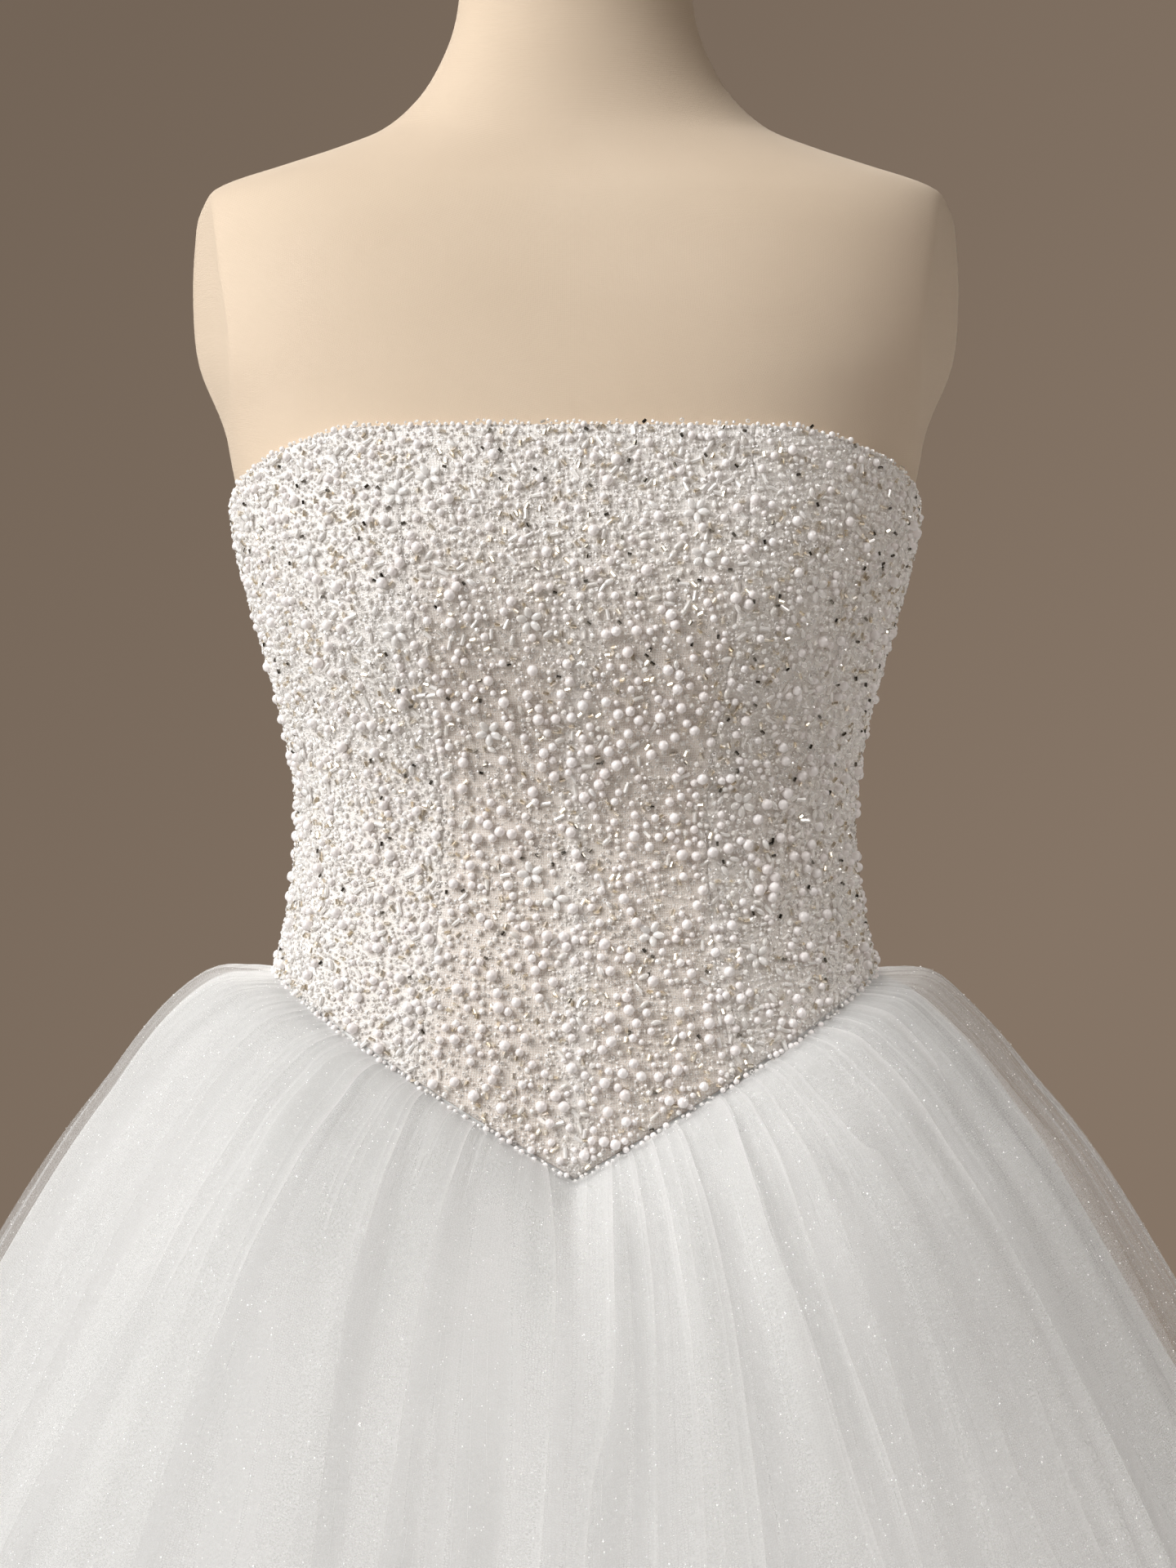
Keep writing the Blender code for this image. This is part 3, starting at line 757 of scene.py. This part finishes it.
TRIES_PER_BEAD = 40
Kind = namedtuple("Kind", "name count radius height shape finish flat in_open elsewhere proud")
for kind in (
    Kind("pearls_large", 520, 0.00255, 0.00255, round_pearl, pearl, False, 1.00, 0.30, 0),
    Kind("pearls_medium", 780, 0.00195, 0.00195, round_pearl, pearl, False, 1.00, 0.45, 0),
    Kind("pearls_small", 950, 0.00145, 0.00145, round_pearl, pearl, False, 1.00, 0.75, 0),
    Kind("petals_loose", 420, 0.0014, 0.0026, petal, petal_glass, True, 0.55, 1.00, 0),
    Kind("crystals", 2100, 0.0015, 0.0014, facets, crystal, False, 0.30, 1.00, 0),
    Kind("bugles", 700, 0.00095, 0.0024, bugle, crystal, True, 0.35, 1.00, 0),
    Kind("silver_tubes", 1800, 0.0008, 0.0013, short_tube, silver, True, 0.80, 1.00, 0.0006),
    # Painted shade: near-black tubes for the dark holes of lined beads.
    Kind("dark_tubes", 400, 0.0007, 0.0010, short_tube, hole_shade, True, 0.50, 1.00, 0.0007),
    Kind("seeds", 2500, 0.00115, 0.00115, hoop, seed_glass, False, 0.60, 1.00, 0.0005),
    Kind("fine_crystals", 9500, 0.00095, 0.00085, fine_cut, crystal, False, 0.30, 1.00, 0),
):
    beads = []
    reach = (kind.radius + kind.height) / 2 * 0.90
    for _ in range(kind.count * TRIES_PER_BEAD):
        if len(beads) == kind.count:
            break
        spot = spot_on_net()
        if beside_zip(spot.point, BEAD_FROM_ZIP):
            continue
        open_share = openness(spot.point, spot.share, spot.degrees)
        if bead_dice.random() > kind.elsewhere + (kind.in_open - kind.elsewhere) * open_share:
            continue
        if kind.finish is hole_shade and bead_dice.random() < spot.share * 0.5:
            continue
        if not fits(spot.point, reach):
            continue
        swell = bead_dice.uniform(0.90, 1.10)
        spin = bead_dice.uniform(0, math.tau)
        tilt = math.pi / 2 + bead_dice.gauss(0, 0.2) if kind.flat else bead_dice.gauss(0, 0.5)
        stands = kind.radius * bead_dice.uniform(0.60, 0.80 + 0.2 * open_share)
        centre = spot.point + spot.normal * (stands + kind.proud * (1 - open_share))
        tone = bead_dice.uniform(0, 0.75) + 0.25 * (1 - open_share)
        wide, tall = kind.radius * swell, kind.height * swell
        beads.append(SewnBead(centre, turned_to(spot.normal, spin, tilt), (wide, wide, tall), tone))
    sew(kind.name, kind.shape, beads, kind.finish)


# ---- Zip: strip, slider and pull tab ----
# An ivory concealed zip closes the centre back. Its coil lies between the two back panels, and
# its nickel slider waits at the top with the pull tab hanging from it.


def coil_tape():
    finish, add = new_finish("zip_coil")
    wave = add("ShaderNodeTexWave", {"Vector": coordinates(add), "Scale": 320.0}, bands_direction="Z")
    # The coil is painted darker in the grooves between its teeth: painted shade over the real relief.
    coil_relief_and_groove_shade = wave.outputs["Fac"]
    return feed(finish, roughness=0.5, normal=embossed(add, coil_relief_and_groove_shade, 0.8, 0.0005),
                base_color=tinted(add, coil_relief_and_groove_shade, 0.0, (0.60, 0.55, 0.48), 1.0, (0.82, 0.79, 0.73)))


coated(bpy.data.objects["back_zip"], coil_tape())
nickel = metal_finish("nickel", (0.66, 0.65, 0.63), (0.76, 0.75, 0.73), 0.24)
for node in ("zip_slider", "zip_pull"):
    coated(bpy.data.objects[node], nickel)


# ---- Underskirt: the dense gathered layers ----
# Satin and several nets gathered together into the waist seam, cut as one front and two backs.
# Small gathers at the seam run together into deeper folds, which open all the way to the hem.

SkirtRow = namedtuple("SkirtRow", "drop reach fold lift")
SKIRT = [SkirtRow(*row) for row in (
    (0.0000, 0.000, 0.0004, 0.0005),
    (0.0040, 0.025, 0.0009, 0.0014),
    (0.0160, 0.056, 0.0019, 0.0035),
    (0.0515, 0.128, 0.0034, 0.0080),
    (0.1420, 0.250, 0.0056, 0.0130),
    (0.4500, 0.575, 0.0080, 0.0170),
    (1.0000, 1.000, 0.0095, 0.0150),
)]
SKIRT_WALL, TULLE_WALL, SKIRT_TUCK, SKIRT_START = 0.0018, 0.0016, 0.0038, 0.0022
SEAM_TUCK, SEAM_OUT, HEM_HEIGHT, HEM_RADIUS = 0.0003, 0.0031, 0.005, 0.64
FOLDS_PER_QUARTER, COLUMNS_PER_FOLD, FOLD_UNEVEN, FOLD_SEED = 13, 12, 0.30, 11
ROUNDED_REACH, ROUNDED_FROM, ROUNDED_OVER, ROUNDED_OF = 34, 1.5, 2.5, range(-14, 15, 4)
row_places = list(range(len(SKIRT)))


def fold_columns():
    """Angle and height of each column. A fold rises from a trough to a broad uneven crest."""
    dice = random.Random(FOLD_SEED)
    columns = []
    for quarter in range(4):
        sizes = [1 + FOLD_UNEVEN * dice.uniform(-1, 1) for _ in range(FOLDS_PER_QUARTER)]
        start = -CENTRE_BACK + 90 * quarter
        for size in sizes:
            width = 90 * size / sum(sizes)
            crest = size * dice.uniform(0.7, 1.1)
            far_crest = crest * dice.uniform(0.8, 1.1)
            for step in range(COLUMNS_PER_FOLD):
                u = step / COLUMNS_PER_FOLD
                height = crest + (far_crest - crest) * u
                columns.append((start + width * u, (1 + height) * math.sin(math.pi * u) ** 0.8 - 1))
            start += width
    return columns + [(CENTRE_BACK, -1.0)]


def hanging_from(angle, place):
    """The seam's height, whose point is rounded off for the cloth that hangs well below it."""
    share = unit((place - ROUNDED_FROM) / ROUNDED_OVER) * max(0, 1 - (angle / ROUNDED_REACH) ** 4)
    if share == 0:
        return waist_seam(angle)
    rounded = sum(waist_seam(angle + step) for step in ROUNDED_OF) / len(ROUNDED_OF)
    return waist_seam(angle) * (1 - share) + rounded * share


def skirt_line(angle, place):
    """A point of the skirt's smooth line and the direction square off it."""
    top = off_form(angle, hanging_from(angle, place) - SKIRT_TUCK, SKIRT_START)
    turn = math.radians(angle)
    hem = Vector((math.sin(turn), -math.cos(turn), 0)) * HEM_RADIUS
    outward = Vector((hem.x - top.x, hem.y - top.y, 0))
    fall = top.z - HEM_HEIGHT
    row = blended(SKIRT, row_places, place)
    above, below = (blended(SKIRT, row_places, place + step) for step in (-0.05, 0.05))
    run = (below.reach - above.reach) * outward.length
    sink = (below.drop - above.drop) * fall
    square_off = (outward.normalized() * sink + Vector((0, 0, run))).normalized()
    return top + outward * row.reach - Vector((0, 0, fall * row.drop)), square_off, row


def waves(dice, low, high, count):
    """A soft uneven wave round the skirt: several sines whose phases drift from waist to hem."""
    parts = [(dice.randint(low, high), dice.uniform(0, math.tau), dice.uniform(-2.5, 2.5))
             for _ in range(count)]

    def wave(angle, place):
        turn = math.radians(angle)
        return sum(math.sin(n * turn + phase + drift * place) for n, phase, drift in parts) / count**0.5

    return wave


STEPS_PER_ROW = (5, 5, 7, 10, 13, 12)
skirt_steps = [0]
for index, steps in enumerate(STEPS_PER_ROW):
    skirt_steps += [index + (step + 1) / steps for step in range(steps)]
skirt_dice = random.Random(23)
gathers = waves(skirt_dice, 110, 170, 4)
drifts = waves(skirt_dice, 5, 17, 4)
sways = waves(skirt_dice, 3, 9, 4)
swells = waves(skirt_dice, 6, 15, 3)
SOFT_NEAR_WAIST, SOFT_AT_HEM, SOFT_UNTIL, SOFT_OVER = 0.04, 0.85, 3.9, 2.1
CALM_FRONT, CALM_REACH, FULLEST, LESS_AT_HEM = 0.65, 9, 1.7, 0.6
SWELL, SWELL_WANDER, SWAY, SWAY_WANDER, SWAY_FROM = 0.9, 0.6, 2.6, 0.45, 3
DRIFT, GATHER, GATHER_FADE, OWN_FOLDS, WHITE_FADE = 0.16, 0.0003, 1.6, 0.11, 1.1
Puff = namedtuple("Puff", "angle whole sheer dense")
PUFFS = (Puff(-88, 0.0120, 0.0020, 0.62), Puff(88, 0.0020, 0.0085, -0.45))
PUFF_REACH, WHOLE_PUFF, SHEER_PUFF, HEM_FADE = 38, (2.1, 1.2), (1.8, 0.9), 1.5


def softened(columns, passes):
    """The same columns, with their troughs and crests rounded off."""
    heights = [height for _, height in columns[:-1]]
    for _ in range(passes):
        heights = [(heights[i - 1] + 2 * heights[i] + heights[(i + 1) % len(heights)]) / 4
                   for i in range(len(heights))]
    return [(column[0], height) for column, height in zip(columns, heights + heights[:1])]


soft_columns = softened(fold_columns(), 5)
column_angles = [angle for angle, _ in soft_columns]


def fold_height(angle):
    """How high the cloth stands in its fold at any angle."""
    angle = (angle + 180) % 360 - 180
    i = min(max(bisect.bisect_right(column_angles, angle), 1), len(column_angles) - 1)
    (start, low), (end, high) = soft_columns[i - 1], soft_columns[i]
    return low + (high - low) * (angle - start) / (end - start)


def fold_share(angle, place):
    """How much of a fold's full depth stands in the cloth here. Folds fade out and start again."""
    down = unit((place - SOFT_UNTIL) / SOFT_OVER)
    share = SOFT_NEAR_WAIST + (SOFT_AT_HEM - SOFT_NEAR_WAIST) * down * down * (3 - 2 * down)
    calm = 1 - CALM_FRONT * bell(angle, 0, CALM_REACH)
    swell = max(1 + SWELL * swells(angle, SWELL_WANDER * place), 0.0)
    return calm * share * min(swell, FULLEST - LESS_AT_HEM * down)


def skirt_rows(angles, tulle):
    """Rows of points from the waist seam to the hem, of the tulle or of the layers below it."""
    own = waves(random.Random(31), 38, 98, 4)
    rows = []
    for place in skirt_steps:
        near_seam = math.exp(-place / GATHER_FADE)
        row = []
        for angle in angles:
            point, square_off, values = skirt_line(angle, place)
            swayed = angle + SWAY * min(place / SWAY_FROM, 1) * sways(angle, SWAY_WANDER * place)
            out = fold_share(angle, place) * fold_height(swayed) * values.fold
            out += DRIFT * values.fold * drifts(angle, place) + GATHER * gathers(angle, place) * near_seam
            for puff in PUFFS:
                to_side = bell(angle, puff.angle, PUFF_REACH)
                out += puff.whole * to_side * bell(place, *WHOLE_PUFF)
                if tulle:
                    out += puff.sheer * to_side * bell(place, *SHEER_PUFF)
                else:
                    fading = min(place / 2, 1, max((row_places[-1] - place) / HEM_FADE, 0))
                    out += puff.dense * to_side * values.lift * fading
            if tulle:
                out += SKIRT_WALL / 2 + values.lift + TULLE_WALL / 2
                out += OWN_FOLDS * values.lift * own(angle, place)
            row.append(point + square_off * out)
        rows.append(row)
    return rows


def skirt_panel(name, start, end, tulle, finish):
    angles = [angle for angle in column_angles if start - 0.01 <= angle <= end + 0.01]
    rows, places = skirt_rows(angles, tulle), list(skirt_steps)
    if not tulle:
        rows.insert(0, [off_form(angle, waist_seam(angle) - SEAM_TUCK, SEAM_OUT) for angle in angles])
        places.insert(0, 0)
    for row in rows:
        trim(row, half_gap, half_gap)
    mesh = sheet_mesh(name, rows, spacing=-1)
    mark(mesh, "gathered", [math.exp(-place / WHITE_FADE) for place in places for _ in angles])
    piece = shown(name + "_sheet", mesh, finish)
    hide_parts(name)


def pleat_group():
    """Overlapping layers down the cloth. Each has its own depth of white and ends in a sharp edge,
    and both wander, because nothing in a gathered net runs straight."""
    group = bpy.data.node_groups.new("net_layers", "ShaderNodeTree")
    group.interface.new_socket("Across", in_out="INPUT", socket_type="NodeSocketFloat")
    group.interface.new_socket("Wander", in_out="INPUT", socket_type="NodeSocketFloat")
    for name in ("Rise", "Edge", "Layer"):
        group.interface.new_socket(name, in_out="OUTPUT", socket_type="NodeSocketFloat")
    add = node_maker(group)
    given = add("NodeGroupInput")
    uv = coordinates(add, "UV")
    drawn = add("ShaderNodeMapping", {"Vector": uv, "Scale": (6.0, 1.3, 1.0)}).outputs[0]
    across = add("ShaderNodeSeparateXYZ", {"Vector": uv}).outputs["X"]
    even = maths(add, "MULTIPLY", across, given.outputs["Across"])
    count = maths(add, "MULTIPLY_ADD", cloudy(add, drawn, 1.0, 2.0), given.outputs["Wander"], even)
    rise = maths(add, "FRACT", count)
    layer = add("ShaderNodeTexWhiteNoise", {"W": maths(add, "FLOOR", count)}, noise_dimensions="1D")
    calm = cloudy(add, coordinates(add), 5.5, 1.0)
    drawn_in = ranged(add, calm, 0.12, 1.0, start=0.40, end=0.62)
    edge = maths(add, "MULTIPLY", maths(add, "POWER", rise, 5.0), drawn_in)
    lift = maths(add, "MULTIPLY", rise, drawn_in)
    add("NodeGroupOutput", {"Rise": lift, "Edge": edge, "Layer": layer.outputs["Value"]})
    return group


net_layers = pleat_group()


def net_fold(add, across, wander):
    return add("ShaderNodeGroup", {"Across": across, "Wander": wander}, node_tree=net_layers).outputs


def dense_layers():
    """Satin under several nets: milky white, with the edges of the nets' own folds in it."""
    finish, add = new_finish("dense_layers")
    wide = net_fold(add, 15.0, 5.0)
    narrow = net_fold(add, 34.0, 8.0)
    layered = maths(add, "ADD", wide["Layer"], narrow["Layer"])
    whiter = maths(add, "MULTIPLY_ADD", layered, 0.18, cloudy(add, coordinates(add), 7.0, 3.0))
    rises = maths(add, "MULTIPLY_ADD", narrow["Rise"], 0.5, wide["Rise"])
    return feed(finish, roughness=0.75, specular_ior_level=0.2, sheen_weight=0.4,
                base_color=tinted(add, whiter, 0.35, (0.625, 0.632, 0.632), 1.0, (0.695, 0.702, 0.702)),
                normal=embossed(add, rises, 0.7, 0.0006))


skirt_panels = (("front", -SIDE_SEAM, SIDE_SEAM), ("back_right", SIDE_SEAM, CENTRE_BACK),
                ("back_left", -CENTRE_BACK, -SIDE_SEAM))
dense = dense_layers()
for part, start, end in skirt_panels:
    skirt_panel("underskirt_" + part, start, end, False, dense)


# ---- Tulle: the sheer glitter layer ----
# One light net, gathered with the layers below and puffed over the side seams. Its fine meshes let
# the white below show through, and fine glitter is glued all over it.


def tulle_finish():
    finish, add = new_finish("sheer_tulle")
    place = coordinates(add)
    square = add("ShaderNodeMapping", {"Vector": coordinates(add, "UV"), "Scale": (0.38, 1.0, 1.0)})
    meshes = cells(add, square.outputs[0], 900.0, 0.55, feature="DISTANCE_TO_EDGE")
    threads = ranged(add, meshes["Distance"], 1.0, 0.0, start=0.04, end=0.20)
    wide = net_fold(add, 19.0, 6.0)
    narrow = net_fold(add, 43.0, 9.0)
    layers = maths(add, "MULTIPLY_ADD", narrow["Layer"], 0.4, wide["Layer"])
    edges = maths(add, "MULTIPLY_ADD", narrow["Edge"], 0.4, wide["Edge"])
    body = maths(add, "MULTIPLY_ADD", layers, 0.17, 0.07)
    edged = maths(add, "MULTIPLY_ADD", edges, 0.30, body)
    seam = maths(add, "MULTIPLY_ADD", carried(add, "gathered"), 0.40, edged)
    net = maths(add, "MULTIPLY_ADD", threads, 0.11, seam, clamped=True)
    # The glitter specks cover the net, and they also glow: a painted glint, no lamp.
    crumbs = cells(add, place, 300.0, 1.0)
    reach = ranged(add, cloudy(add, place, 26.0, 2.0), 0.04, 0.095, start=0.35, end=0.65)
    glitter = maths(add, "LESS_THAN", crumbs["Distance"], reach)
    return feed(finish, base_color=(0.735, 0.742, 0.746, 1), roughness=0.6, sheen_weight=0.3,
                alpha=maths(add, "MAXIMUM", net, glitter), normal=embossed(add, wide["Rise"], 0.7, 0.0008),
                emission_color=glitter, emission_strength=0.8)


sheer = tulle_finish()
for part, start, end in skirt_panels:
    skirt_panel("tulle_" + part, start, end, True, sheer)


# ---- Glitter: the larger flakes ----
# Flat cut flakes of clear film, glued all over the tulle, where they fell by chance. Each one lies
# nearly in the net and catches the light at its own angle, and glows a little too: a painted glint.


def flake_film():
    finish, add = new_finish("glitter_film")
    tint = tinted(add, carried(add, "tone"), 0.0, (0.62, 0.61, 0.58), 0.8, (1.0, 1.0, 1.0))
    # The flakes glow in their own colour: a painted glint, no lamp.
    return feed(finish, base_color=tint, emission_color=tint, emission_strength=0.7, roughness=0.2,
                coat_weight=0.6)


FLAKES_PER_M2, FLAKE_LEAST, FLAKE_MORE, FLAKE_RAISE, FLAKE_FLAT = 5200, 0.00018, 0.00032, 0.0004, 0.3
flake_dice = random.Random(77)
flakes = []
for part, start, end in skirt_panels:
    mesh = bpy.data.objects["tulle_" + part + "_sheet"].data
    faces = list(mesh.polygons)
    sums = list(accumulate(face.area for face in faces))
    for face in flake_dice.choices(faces, cum_weights=sums, k=int(sums[-1] * FLAKES_PER_M2)):
        a, b, c, d = (mesh.vertices[index].co for index in face.vertices)
        u, v = flake_dice.random(), flake_dice.random()
        point = (a * (1 - u) + b * u) * (1 - v) + (d * (1 - u) + c * u) * v
        wide = FLAKE_LEAST + FLAKE_MORE * flake_dice.random() ** 3
        turn = turned_to(face.normal, flake_dice.uniform(0, math.tau), flake_dice.gauss(0, 0.35))
        flakes.append(SewnBead(point + face.normal * FLAKE_RAISE, turn, (wide, wide, wide * FLAKE_FLAT),
                               flake_dice.random()))
sew("glitter_flakes", fine_cut, flakes, flake_film())
for shape in (round_pearl, facets, fine_cut, petal, bugle, short_tube, hoop):
    bpy.data.objects.remove(shape, do_unlink=True)


# ---- Floor, light and camera ----
# A plain pale studio floor. A large soft lamp from the upper left models the folds, a narrow one
# lights the skirt from the right, a small one in front lets the glass glint, and one stands behind.
# The camera looks level at the waist.


FLOOR_RADIUS = 5


def floor():
    bpy.ops.object.select_all(action="DESELECT")
    bpy.ops.mesh.primitive_circle_add(vertices=96, radius=FLOOR_RADIUS, fill_type="NGON",
                                      location=(0, 0, 0))
    ground = bpy.context.object
    ground.name = "studio_floor"
    finish, add = new_finish("pale_floor")
    cloud = cloudy(add, coordinates(add), 1.5, 3.0)
    feed(finish, roughness=0.8,
         base_color=tinted(add, cloud, 0.0, (0.60, 0.58, 0.56), 1.0, (0.66, 0.64, 0.62)))
    ground.data.materials.append(finish)


floor()


def soft_lamp(name, place, aim, size, power, colour, spread=180):
    data = bpy.data.lights.new(name, "AREA")
    data.shape, data.size, data.energy, data.color = "DISK", size, power, colour
    data.spread = math.radians(spread)
    lamp = linked(name, data)
    lamp.location = place
    lamp.rotation_euler = (Vector(aim) - Vector(place)).to_track_quat("-Z", "Y").to_euler()


soft_lamp("key", (-2.6, -1.6, 3.1), (-0.05, -0.1, 1.5), 3.2, 62, (1.0, 0.985, 0.965), 95)
soft_lamp("grid_fill", (2.2, -0.9, 2.6), (0.7, -0.4, 0.5), 1.4, 6.0, (1.0, 0.97, 0.94), 50)
soft_lamp("fill", (1.0, -3.2, 1.6), (0, 0, 0.9), 0.6, 2.5, (1.0, 0.90, 0.80))
soft_lamp("back", (-0.5, 3.2, 2.3), (0, 0.6, 0.5), 2.2, 42, (1.0, 0.96, 0.92), 130)

world = bpy.data.worlds.new("studio")
bpy.context.scene.world = world
world.use_nodes = True
add = node_maker(world.node_tree)
# Painted light: the camera sees the backdrop lighter to the lower right, darker to the upper left.
way = add("ShaderNodeSeparateXYZ", {"Vector": coordinates(add, "Generated")}).outputs
backdrop_light_falloff = ranged(add, maths(add, "MULTIPLY_ADD", way["Z"], -0.9, way["X"]), 0.0, 1.0, -0.32, 0.16)
wall = tinted(add, backdrop_light_falloff, 0.0, (0.172, 0.129, 0.096), 1.0, (0.236, 0.178, 0.133))
backdrop = world.node_tree.nodes["Background"]
world.node_tree.links.new(wall, backdrop.inputs["Color"])
around = add("ShaderNodeBackground", {"Color": (0.88, 0.70, 0.55, 1), "Strength": 0.110})
seen = add("ShaderNodeLightPath")
mixed = add("ShaderNodeMixShader", {0: seen.outputs["Is Camera Ray"], 1: around.outputs[0],
                                    2: backdrop.outputs[0]})
world.node_tree.links.new(mixed.outputs[0], world.node_tree.nodes["World Output"].inputs["Surface"])
bpy.context.scene.view_settings.view_transform = "Standard"

camera = linked("camera", bpy.data.cameras.new("camera"))
camera.data.lens, camera.data.sensor_width = 85, 36
camera.location, camera.rotation_euler = (0.006, -1.81, 1.086), (math.pi / 2, 0, 0)
bpy.context.scene.camera = camera
